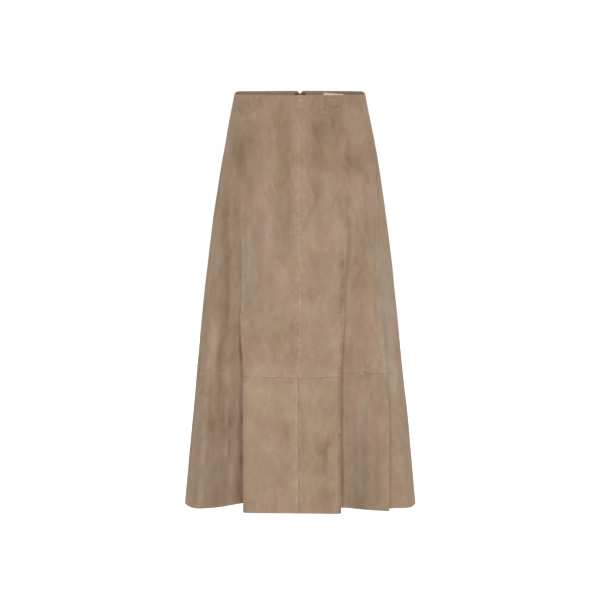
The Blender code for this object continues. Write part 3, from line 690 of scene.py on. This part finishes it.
def rows_between(low, high):
    """Heights from the top one down, closer near the waist."""
    rows = [high]
    while rows[-1] > low:
        rows.append(rows[-1] - (FINE_PITCH if rows[-1] > -FINE_REACH else ROW_PITCH))
    return np.array(with_edges(rows, low, high))[::-1]


def lengths_along(points):
    """How far along a row of points each of them is."""
    return np.concatenate([[0.0], np.cumsum(np.linalg.norm(np.diff(points, axis=0), axis=1))])


def columns_between(first, last):
    """Places at an even pitch along the cloth, measured at the middle of the tier."""
    places = np.linspace(first, last, COLUMN_TRIES)
    along = lengths_along(plan(places, np.full(len(places), (SEAM_Z + HEM_Z) / 2)))
    even = np.linspace(0.0, along[-1], max(2, round(along[-1] / COLUMN_PITCH) + 1))
    return np.interp(with_edges(list(even), 0.0, along[-1]), along, places)


def edge_round(distance, radius):
    """How far a rounded edge draws back, at a distance in from it."""
    short = EDGE_KEPT * np.clip(1 - distance / radius, 0.0, 1.0)
    return radius * (1 - np.sqrt(1 - short ** 2))


def mesh_object(name, points, faces, stuffs):
    """A smooth mesh that rides on the skirt."""
    mesh = bpy.data.meshes.new(name)
    mesh.from_pydata(points.tolist(), [], faces.tolist())
    mesh.update()
    for stuff in stuffs:
        mesh.materials.append(stuff)
    mesh.shade_smooth()
    made = bpy.data.objects.new(name, mesh)
    bpy.context.scene.collection.objects.link(made)
    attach(made, "skirt")
    return made


def inner_folds(heights, sides, open_above):
    """Extra thickness inside a sewn panel: its seam allowances and the turned-up hem."""
    closed = ease((open_above - heights) / ALLOWANCE)
    beside = ease((ALLOWANCE - sides) / SEAM_RAMP) * closed
    along = ease((ALLOWANCE - np.abs(heights - SEAM_Z)) / SEAM_RAMP)
    hem = ease((HEM_Z + HEM_TURN - heights) / SEAM_RAMP)
    return ALLOWANCE_WALL * np.max([beside, along, hem], axis=0)


def cloth(name, node, places, heights, depth, wall, stuffs, rounds, open_above=None,
          lean=0.0):
    """A thin closed shell on the surface, with its relief, nap, painted light and shade, and
    rounded edges.

    rounds are the radii of its side edges, top edge and foot. A sewn panel says below which
    height its side seams have allowances. lean lowers or lifts its first column.
    """
    rows, columns = len(heights), len(places)
    grid_places = np.tile(places, rows)
    grid_heights = np.repeat(heights, columns)
    share = (grid_places - places[0]) / (places[-1] - places[0])
    points, round_it, out, pace = surface(grid_places, grid_heights + lean * (1 - share))
    inset = np.zeros(columns)
    inset[0] = SEAM_LEFT / 2
    inset[-1] = -SEAM_LEFT / 2
    points = points + round_it * np.tile(inset, rows)[:, None]
    sides = np.minimum(grid_places - places[0], places[-1] - grid_places) * pace
    distances = (sides, heights[0] - grid_heights, grid_heights - heights[-1])
    back = np.max([edge_round(*pair) for pair in zip(distances, rounds)], axis=0)
    raised = relief(grid_places, grid_heights, points, out, pace)
    thick = 0.0 if open_above is None else inner_folds(grid_heights, sides, open_above)
    outer = points + out * (raised - depth - back)[:, None]
    inner = points + out * (raised - depth - wall - thick + back)[:, None]
    count = rows * columns
    index = np.arange(count).reshape(rows, columns)
    a, b = index[:-1, :-1].ravel(), index[1:, :-1].ravel()
    c, d = index[1:, 1:].ravel(), index[:-1, 1:].ravel()
    rim = np.concatenate([index[0, :], index[1:, -1], index[-1, -2::-1], index[-2:0:-1, 0]])
    after = np.roll(rim, -1)
    faces = np.concatenate([
        np.stack([a, b, c, d], axis=1),
        np.stack([a + count, d + count, c + count, b + count], axis=1),
        np.stack([rim, after, after + count, rim + count], axis=1),
    ])
    made = mesh_object(name, np.concatenate([outer, inner]), faces, stuffs)
    inside = np.zeros(len(faces), np.int32)
    inside[len(a):2 * len(a)] = len(stuffs) - 1
    made.data.polygons.foreach_set("material_index", inside)
    # the nap's tone, tints and wear, painted light and shade included, kept on the mesh
    values = nap_and_painted_light(grid_places, grid_heights, points, out, pace).astype(np.float32)
    for column, key in enumerate(NAP_AND_PAINTED_LIGHT_KEYS):
        kept = made.data.attributes.new(key, "FLOAT", "POINT")
        kept.data.foreach_set("value", np.tile(values[:, column], 2))
    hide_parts(node)
    return made


def waist_place(x):
    """Place on the inside back, by its sideways distance from the back seam at the waist."""
    tried = np.linspace(0.0, WAIST_PLACES, WAIST_TRIES)
    reach = plan(-tried, np.zeros(len(tried)))[:, 0]
    place = np.interp(abs(x), reach, tried)
    return -place if x > 0 else place


def build_cloth(stuffs):
    """Panels, tier, facing, label and zip tape."""
    suede, flesh = stuffs["suede"], stuffs["flesh"]
    seams = [LINE_NAMES.index(form[0]) for form in SEAM_FORMS] + [len(LINES)]
    spans = zip(seams, seams[1:], ("back", "front", "front", "back"),
                ("right", "right", "left", "left"))
    upper_rows = rows_between(SEAM_Z + SEAM_LEFT / 2, WAIST_Z)
    tier_rows = rows_between(HEM_Z, SEAM_Z - SEAM_LEFT / 2)
    free = WALL / 2
    free_inside = (FACING_WALL / 2,) * 3
    for first, last, face, side in spans:
        columns = columns_between(first, last)
        upper = face + "_panel_" + side
        tier = "tier_" + face + "_" + side
        closed_below = ZIP_BOTTOM if face == "back" else -FACING_DEPTH
        cloth("suede_" + upper, upper, columns, upper_rows, 0.0, WALL,
                            [suede, flesh], (SEWN_ROUND, free, SEWN_ROUND), closed_below)
        cloth("suede_" + tier, tier, columns, tier_rows, 0.0, WALL,
                           [suede, flesh], (SEWN_ROUND, SEWN_ROUND, free), WAIST_Z)
    edge = waist_place(-ZIP_HALF)
    cloth(
        "suede_waist_facing", "waist_facing",
        columns_between(edge, len(LINES) - edge), rows_between(-FACING_DEPTH, WAIST_Z),
        UNDER_PANEL, FACING_WALL, [flesh], free_inside)
    cloth(
        "woven_zip_tape", "zip_tape", columns_between(-edge, edge),
        rows_between(ZIP_BOTTOM, -TAPE_DROP), UNDER_PANEL, FACING_WALL, [stuffs["tape"]],
        free_inside)
    first = waist_place(LABEL_X + LABEL_SIZE[0] / 2)
    last = waist_place(LABEL_X - LABEL_SIZE[0] / 2)
    label = cloth("woven_label", "label", columns_between(first, last),
                  rows_between(-LABEL_DROP - LABEL_SIZE[1], -LABEL_DROP),
                  UNDER_FACING + GAP, FACING_WALL, [stuffs["label"]], free_inside,
                  lean=LABEL_LEAN)


# ---- stitches and teeth
def bead():
    """Points and faces of a small rounded bead along X, one unit each way."""
    turns = [2 * pi * side / BEAD_SIDES for side in range(BEAD_SIDES)]
    points = [(along, reach * cos(turn) / 2, reach * sin(turn) / 2)
              for along, reach in BEAD_RINGS for turn in turns]
    last = (len(BEAD_RINGS) - 1) * BEAD_SIDES
    faces = []
    for low in range(0, last, BEAD_SIDES):
        for side in range(BEAD_SIDES):
            near, far = low + side, low + (side + 1) % BEAD_SIDES
            faces.append((near, far, far + BEAD_SIDES, near + BEAD_SIDES))
    for side in range(1, BEAD_SIDES - 1, 2):
        after = (side + 2) % BEAD_SIDES
        faces.append((0, after, side + 1, side))
        faces.append((last, last + side, last + side + 1, last + after))
    return np.array(points), np.array(faces)


def beads(name, centres, along, out, size, stuff):
    """One joined mesh of beads, each at a centre with its length along a direction."""
    points, faces = bead()
    points = points * np.array(size)
    placed = centres[:, None, :]
    for column, way in enumerate((along, np.cross(out, along), out)):
        placed = placed + points[None, :, column, None] * way[:, None, :]
    every = faces + len(points) * np.arange(len(centres))[:, None, None]
    return mesh_object(name, placed.reshape(-1, 3), every.reshape(-1, 4), [stuff])


def even_places(first, last, height, pitch):
    """Places at an even pitch along the surface at a height."""
    tried = np.linspace(first, last, STITCH_TRIES)
    along = lengths_along(skin(tried, np.full(len(tried), height)))
    return np.interp(np.arange(pitch / 2, along[-1], pitch), along, tried)


def on_cloth(places, heights, depth):
    """Points at a depth under the cloth's outer face, and directions round, up and out."""
    points, round_it, out, pace = surface(places, heights)
    raised = relief(places, heights, points, out, pace)
    return points + out * (raised - depth)[:, None], round_it, np.cross(out, round_it), out


def build_stitches(thread):
    """Rows of stitches along the lap, the foot of the facing and the label's ends."""
    edge = waist_place(-ZIP_HALF)
    rows = (
        ("lap_stitches", 0.0, SEAM_Z + STITCH_INSET, 0.0, "suede"),
        ("facing_stitches", edge, STITCH_INSET - FACING_DEPTH, UNDER_FACING, "suede_inside"),
    )
    for name, first, height, depth, slot in rows:
        places = even_places(first, len(LINES) - first, height, STITCH_PITCH)
        centres, along, _, out = on_cloth(places, np.full(len(places), height), depth)
        beads(name, centres, along, out, STITCH, thread)
    for side, way, lean in (("left", 1, LABEL_LEAN), ("right", -1, 0.0)):
        x = LABEL_X + way * (LABEL_SIZE[0] / 2 - STITCH_INSET)
        heights = lean - LABEL_DROP - np.arange(STITCH_PITCH / 2, LABEL_SIZE[1], STITCH_PITCH)
        places = np.full(len(heights), waist_place(x))
        centres, _, up, out = on_cloth(places, heights, UNDER_FACING + GAP + FACING_WALL)
        beads("label_stitches_" + side, centres, up, out, STITCH, thread)


def build_teeth(stuff):
    """The closed zip's coil: two rows of teeth, each set between those of the other."""
    for side, way, start in (("right", -1, 0.0), ("left", 1, TOOTH_PITCH / 2)):
        heights = np.arange(TEETH_TOP - start, ZIP_BOTTOM + STITCH_INSET, -TOOTH_PITCH)
        places = np.full(len(heights), waist_place(way * TOOTH_X))
        centres, along, _, out = on_cloth(places, heights, UNDER_FACING)
        beads("zip_teeth_" + side, centres, along, out, TOOTH, stuff)


# ---- materials
def feed(tree, inputs, values):
    """Link each named input to the socket given for it, or set it to the plain value."""
    for key, value in values.items():
        if isinstance(value, bpy.types.NodeSocket):
            tree.links.new(value, inputs[key])
        else:
            inputs[key].default_value = value


def node(tree, kind, inputs, **settings):
    """A shader node with its settings and inputs."""
    made = tree.nodes.new("ShaderNode" + kind)
    for key, value in settings.items():
        setattr(made, key, value)
    feed(tree, made.inputs, inputs)
    return made


def material(name, colour, roughness, metallic=0.0, sheen=0.0):
    """A material with what is the same all over, its tree and its shader's inputs."""
    made = bpy.data.materials.new(name)
    made.use_nodes = True
    tree = made.node_tree
    inputs = tree.nodes["Principled BSDF"].inputs
    feed(tree, inputs, {
        "Base Color": (*colour, 1.0), "Roughness": roughness, "Metallic": metallic,
        "Sheen Weight": sheen, "Sheen Roughness": SHEEN_ROUGHNESS, "Sheen Tint": (*SHEEN, 1.0),
        "Specular IOR Level": METAL_SPECULAR if metallic else CLOTH_SPECULAR})
    return made, tree, inputs


def object_metres(tree):
    """Places in the object's own metres, from one node of the tree."""
    found = tree.nodes.get("Texture Coordinate") or node(tree, "TexCoord", {})
    return found.outputs["Object"]


def noise(tree, scale, detail, stretch_y=1.0, stretch_z=1.0, warp=0.0, edge=None):
    """A noise pattern in the object's own metres, stretched along its axes.

    A pattern with an edge goes from 0 to 1 between the edge's two values.
    """
    mapping = node(tree, "Mapping", {"Vector": object_metres(tree),
                                     "Scale": (1.0, stretch_y, stretch_z)})
    made = node(tree, "TexNoise", {
        "Vector": mapping.outputs["Vector"], "Scale": scale, "Detail": detail,
        "Roughness": NOISE_ROUGHNESS, "Distortion": warp})
    if edge is None:
        return made.outputs["Fac"]
    low, high = edge
    steep = node(tree, "MapRange", {"Value": made.outputs["Fac"], "From Min": low,
                                    "From Max": high}, interpolation_type="SMOOTHSTEP")
    return steep.outputs["Result"]


def weighed_sum(tree, parts, start):
    """Start plus each part's value, less its middle, times its weight."""
    total = start
    for value, middle, weight in parts:
        shifted = node(tree, "Math", {0: value, 1: middle}, operation="SUBTRACT")
        scaled = node(tree, "Math", {0: shifted.outputs[0], 1: weight, 2: total},
                      operation="MULTIPLY_ADD")
        total = scaled.outputs[0]
    return total


def tinted(tree, colour, tint, amount):
    """A colour, mixed towards a tint by an amount."""
    clamped = node(tree, "Clamp", {"Value": amount})
    mix = node(tree, "MixRGB", {"Fac": clamped.outputs[0], "Color1": colour,
                                "Color2": (*tint, 1.0)})
    return mix.outputs["Color"]


def add_bump(tree, inputs, parts, depth):
    """A fine bump from patterns and their weights."""
    height = weighed_sum(tree, [(value, 0.5, weight) for value, weight in parts], 0.5)
    bump = node(tree, "Bump", {"Strength": 1.0, "Distance": depth, "Height": height})
    feed(tree, inputs, {"Normal": bump.outputs["Normal"]})


def mottled(tree, inputs, colour, parts):
    """The base colour, lighter and darker by patterns and their weights."""
    tone = weighed_sum(tree, [(value, 0.5, weight) for value, weight in parts], 1.0)
    scaled = node(tree, "VectorMath", {0: colour, "Scale": tone}, operation="SCALE")
    feed(tree, inputs, {"Base Color": scaled.outputs["Vector"]})


def suede(name, rose, green, cool, tone_weight):
    """Brushed suede: swept patches, strokes of the nap down the cloth, flecks and grain, and the
    tone, tints and wear laid on the mesh, with painted light and shade in the tone and a painted
    sheen in the cool tint.
    """
    made, tree, inputs = material(name, rose, roughness=0.95, sheen=0.22)
    parts = {key: noise(tree, *pattern) for key, pattern in NAP_PATTERNS.items()}
    for key in NAP_AND_PAINTED_LIGHT_KEYS:
        parts[key] = node(tree, "Attribute", {}, attribute_name=key).outputs["Fac"]
    colour = (*rose, 1.0)
    # the cool tint also carries a painted sheen along the side edge and a fold edge
    for tint, (hand, chance, start, by_hand, by_chance) in zip((green, cool), NAP_TINTS):
        amount = weighed_sum(tree, [(parts[hand], 0.0, by_hand),
                                    (parts[chance], 0.5, by_chance)], start)
        colour = tinted(tree, colour, tint, amount)
    worn = node(tree, "Math", {0: parts["nap_worn"], 1: parts["rub"]}, operation="MULTIPLY")
    # the laid-on tone holds painted light and shade as well as the nap's own tone
    tones = [(parts["nap_tone_and_painted_light"], 0.0, tone_weight)]
    tones += [(parts[key], middle, weight) for key, middle, weight in NAP_TONES]
    tones += [(worn.outputs[0], 0.0, WORN_TONE)]
    share = node(tree, "VectorMath", {
        0: weighed_sum(tree, tones, 0.0), 1: NAP_WARMTH, 2: (1.0, 1.0, 1.0)},
        operation="MULTIPLY_ADD")
    scaled = node(tree, "VectorMath", {0: colour, 1: share.outputs["Vector"]},
                  operation="MULTIPLY")
    feed(tree, inputs, {"Base Color": scaled.outputs["Vector"],
                        "Roughness": weighed_sum(tree, [(parts["mottle"], 0.5, 0.25)], 0.93)})
    add_bump(tree, inputs, [(parts[key], weight) for key, weight in NAP_BUMPS], depth=0.0004)
    return made


def woven(name, colour, scale, shade):
    """A close weave of warp and weft, for the label and the zip's tape."""
    made, tree, inputs = material(name, colour, roughness=0.75, sheen=0.1)
    waves = []
    for way in "XZ":
        wave = node(tree, "TexWave", {"Vector": object_metres(tree), "Scale": scale,
                                      "Distortion": 0.6, "Detail": 1.0}, bands_direction=way)
        waves.append(wave.outputs["Fac"])
    soil = noise(tree, scale=120.0, detail=3.0)
    mottled(tree, inputs, colour, [(waves[0], shade), (waves[1], shade), (soil, 0.2)])
    add_bump(tree, inputs, [(wave, 1.0) for wave in waves], depth=0.00012)
    return made


def bronze(name):
    """Antique bronze, rubbed and a little tarnished."""
    made, tree, inputs = material(name, BRONZE, roughness=0.38, metallic=1.0)
    cloud = noise(tree, scale=500.0, detail=3.0)
    rub = noise(tree, scale=1800.0, detail=2.0, stretch_z=0.2)
    mottled(tree, inputs, BRONZE, [(cloud, 0.7), (rub, 0.4)])
    rough = weighed_sum(tree, [(cloud, 0.5, 0.5), (rub, 0.5, 0.3)], 0.38)
    feed(tree, inputs, {"Roughness": rough})
    add_bump(tree, inputs, [(rub, 1.0)], depth=0.00001)
    return made


def thread(name, colour):
    """Sewing thread or a nylon coil, with its fine unevenness."""
    made, tree, inputs = material(name, colour, roughness=0.7, sheen=0.2)
    twist = noise(tree, scale=1500.0, detail=2.0)
    mottled(tree, inputs, colour, [(twist, 0.5)])
    add_bump(tree, inputs, [(twist, 1.0)], depth=0.0001)
    return made


def build_materials():
    """Every material that the pieces wear."""
    return {
        "suede": suede("brushed_suede", SUEDE_ROSE, SUEDE_GREEN, SUEDE_COOL, tone_weight=1.0),
        "flesh": suede("suede_flesh_side", FLESH, FLESH, FLESH, tone_weight=0.4),
        "label": woven("cream_label", CREAM, scale=260.0, shade=0.06),
        "tape": woven("zip_tape_weave", TAPE, scale=300.0, shade=0.3),
        "metal": bronze("antique_bronze"),
        "thread": thread("suede_thread", THREAD),
        "teeth": thread("zip_coil", COIL),
    }


# ---- studio
FLOOR_Z = -1.20         # the hem of a worn skirt of this length is this far off the floor
FLOOR_HALF = 30.0
CAMERA_PLACE = (0.0, -7.0, 0.10)
CAMERA_PITCH = 4.28
CAMERA_LENS = 206.9
AMBIENT = 0.30          # strength of the surround's light; it looks plain white itself
BACKDROP = 1.05         # of the surround where the camera sees it
LIGHTS = (
    # name, place, size, watts
    ("front_right", (-0.62, -8.2, 0.35), 0.6, 226.0),
    ("front_left", (0.62, -8.2, 0.35), 0.6, 216.0),
    ("right_side", (-5.9, -2.9, 0.2), 2.4, 46.0),
    ("left_side", (5.9, -2.9, 0.2), 2.4, 84.0),
    ("right_back", (-5.6, 3.6, 0.3), 2.4, 80.0),
    ("left_back", (5.6, 3.6, 0.3), 2.4, 80.0),
    ("back", (0.0, 8.2, 0.8), 1.8, 420.0),
    ("top", (0.0, -0.6, 2.4), 2.0, 10.0),
)
AIM = (0.0, 0.0, -0.40)


def place_object(name, data, place=(0.0, 0.0, 0.0)):
    """An object of the studio at its place."""
    made = bpy.data.objects.new(name, data)
    made.location = place
    bpy.context.scene.collection.objects.link(made)
    return made


def build_floor():
    """A wide plain floor that looks white and throws no light on the skirt."""
    flat = bpy.data.meshes.new("floor")
    flat.from_pydata([(x * FLOOR_HALF, y * FLOOR_HALF, FLOOR_Z)
                      for x, y in ((-1, -1), (1, -1), (1, 1), (-1, 1))], [], [(0, 1, 2, 3)])
    pale, tree, inputs = material("pale_floor", FLOOR, roughness=1.0)
    feed(tree, inputs, {"Emission Color": (1.0, 1.0, 1.0, 1.0), "Emission Strength": 1.0})
    flat.materials.append(pale)
    ground = place_object("floor", flat)
    ground.visible_diffuse = False


def build_studio():
    """White surround, floor, soft lights and the camera."""
    scene = bpy.context.scene
    scene.view_settings.view_transform = "Standard"
    world = bpy.data.worlds.new("white_surround")
    scene.world = world
    world.use_nodes = True
    tree = world.node_tree
    seen = node(tree, "LightPath", {}).outputs["Is Camera Ray"]
    strength = node(tree, "Math", {0: seen, 1: BACKDROP - AMBIENT, 2: AMBIENT},
                    operation="MULTIPLY_ADD")
    feed(tree, tree.nodes["Background"].inputs,
         {"Color": (1.0, 1.0, 1.0, 1.0), "Strength": strength.outputs[0]})
    build_floor()
    for name, place, size, watts in LIGHTS:
        lamp = bpy.data.lights.new(name, "AREA")
        lamp.size = size
        lamp.energy = watts
        held = place_object(name, lamp, place)
        held.rotation_euler = (Vector(AIM) - Vector(place)).to_track_quat("-Z", "Y").to_euler()
    lens = bpy.data.cameras.new("camera")
    lens.lens = CAMERA_LENS
    lens.clip_end = 100.0
    camera = place_object("camera", lens, CAMERA_PLACE)
    camera.rotation_euler = (radians(90.0 - CAMERA_PITCH), 0.0, 0.0)
    scene.camera = camera


def finish_metal(metal):
    """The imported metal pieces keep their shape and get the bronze."""
    for name in ("zip_slider", "zip_pull", "hook", "eye"):
        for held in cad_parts[name].material_slots:
            held.material = metal


build_studio()
STUFFS = build_materials()
build_cloth(STUFFS)
build_stitches(STUFFS["thread"])
build_teeth(STUFFS["teeth"])
finish_metal(STUFFS["metal"])
